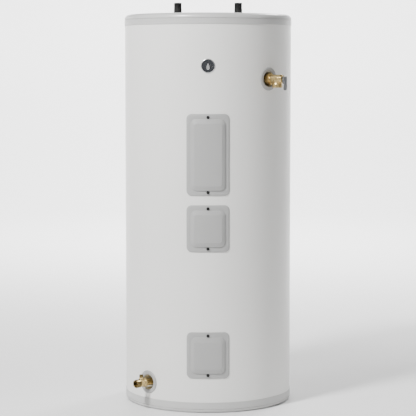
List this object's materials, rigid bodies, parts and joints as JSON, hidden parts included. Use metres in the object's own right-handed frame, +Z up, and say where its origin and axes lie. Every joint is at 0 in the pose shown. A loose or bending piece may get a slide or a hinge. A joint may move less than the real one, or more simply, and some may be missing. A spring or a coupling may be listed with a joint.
{
  "type": "electric tank water heater",
  "caption": "Upright round storage water heater with screwed access covers, top pipe nipples, a relief valve with a lever and a drain valve.",
  "frame": {"origin": "centre of the base pan's underside, on the floor", "axes": "+Z up, -Y towards the front with the access covers, +X towards the cold water inlet"},
  "size_m": [0.5616, 0.5703, 1.341],
  "materials": {
    "jacket_paint": "white baked enamel on sheet steel",
    "pan_paint": "light grey baked enamel on sheet steel",
    "cover_plastic": "moulded light grey plastic",
    "tank_steel": "rolled steel with a fired glass coat",
    "foam": "rigid foam",
    "black_steel": "black steel pipe with oiled threads",
    "zinc_steel": "zinc plated",
    "green_steel": "green dyed zinc plate",
    "stainless": "turned stainless steel",
    "copper_sheath": "tinned copper sheath",
    "brass": "cast and machined brass",
    "magnesium": "cast magnesium",
    "white_plastic": "satin",
    "black_plastic": "phenolic moulding",
    "red_plastic": "satin",
    "blue_plastic": "satin",
    "badge_enamel": "dark gloss disc",
    "rubber": "matt",
    "wire_sleeve": "braided sleeve"
  },
  "bodies": {
    "heater": {"jacket": "jacket_paint", "top_cover": "pan_paint", "base_pan": "pan_paint", "tank_shell": "tank_steel", "tank_top_head": "tank_steel", "tank_bottom_head": "tank_steel", "foam_insulation": "foam", "hot_outlet_nipple": "black_steel", "cold_inlet_nipple": "black_steel", "hot_nipple_liner": "white_plastic", "cold_nipple_liner": "white_plastic", "hot_grommet": "red_plastic", "cold_grommet": "blue_plastic", "dip_tube": "white_plastic", "anode_rod": "magnesium", "anode_cap": "white_plastic", "control_cover": "cover_plastic", "upper_element_cover": "cover_plastic", "lower_element_cover": "cover_plastic", "upper_harness": "wire_sleeve", "lower_harness": "wire_sleeve", "upper_thermostat": "black_plastic", "lower_thermostat": "black_plastic", "high_limit_switch": "black_plastic", "upper_thermostat_bracket": "zinc_steel", "lower_thermostat_bracket": "zinc_steel", "junction_box": "zinc_steel", "junction_cover": "pan_paint", "junction_cover_screw": "zinc_steel", "ground_screw": "green_steel", "badge": "badge_enamel", "relief_escutcheon": "cover_plastic", "drain_escutcheon": "cover_plastic", "relief_valve_body": "brass", "relief_bonnet": "brass", "drain_valve_body": "brass", "drain_gland_nut": "brass", "upper_element_head": "zinc_steel", "upper_element_loop": "copper_sheath", "upper_element_gasket": "rubber", "upper_element_terminals": "black_plastic", "lower_element_head": "zinc_steel", "lower_element_loop": "copper_sheath", "lower_element_gasket": "rubber", "lower_element_terminals": "black_plastic", "control_cover_screw_top": "black_steel", "control_cover_screw_bottom": "black_steel", "upper_element_cover_screw_top": "black_steel", "upper_element_cover_screw_bottom": "black_steel", "lower_element_cover_screw_top": "black_steel", "lower_element_cover_screw_bottom": "black_steel"},
    "relief_stem_body": {"relief_stem": "stainless", "relief_spring": "stainless", "relief_lever_pin": "stainless"},
    "relief_lever_body": {"relief_lever": "zinc_steel"},
    "drain_stem_body": {"drain_valve_stem": "brass", "drain_valve_ball": "stainless"},
    "upper_dial_body": {"upper_thermostat_dial": "white_plastic"},
    "lower_dial_body": {"lower_thermostat_dial": "white_plastic"},
    "reset_body": {"reset_button": "red_plastic"}
  },
  "joints": [
    {"name": "relief_lever_lift", "type": "hinge", "parent": "relief_stem_body", "child": "relief_lever_body", "pos_m": [0.24629, -0.24629, 1.087], "axis": [-0.7071, -0.7071, 0], "range_deg": [0, 85], "stiffness_Nm_per_rad": 0.35, "springref_deg": -17.19},
    {"name": "relief_stem_lift", "type": "slide", "parent": "heater", "child": "relief_stem_body", "axis": [0.7071, -0.7071, 0], "range_m": [0, 0.00331], "deforming": ["relief_spring"]},
    {"name": "drain_stem_turn", "type": "hinge", "parent": "heater", "child": "drain_stem_body", "pos_m": [-0.21991, -0.21991, 0.088], "axis": [0, 0, 1], "range_deg": [0, 90]},
    {"name": "upper_dial_turn", "type": "hinge", "parent": "heater", "child": "upper_dial_body", "pos_m": [0, -0.249, 0.778], "axis": [0, -1, 0], "range_deg": [-135, 135]},
    {"name": "lower_dial_turn", "type": "hinge", "parent": "heater", "child": "lower_dial_body", "pos_m": [0, -0.249, 0.207], "axis": [0, -1, 0], "range_deg": [-135, 135]},
    {"name": "reset_button_press", "type": "slide", "parent": "heater", "child": "reset_body", "axis": [0, 1, 0], "range_m": [0, 0.0025], "stiffness_N_per_m": 400, "springref_m": -0.001}
  ],
  "couplings": [
    {"joint": "relief_stem_lift", "follows": "relief_lever_lift", "m_per_rad": 0.002228}
  ]
}
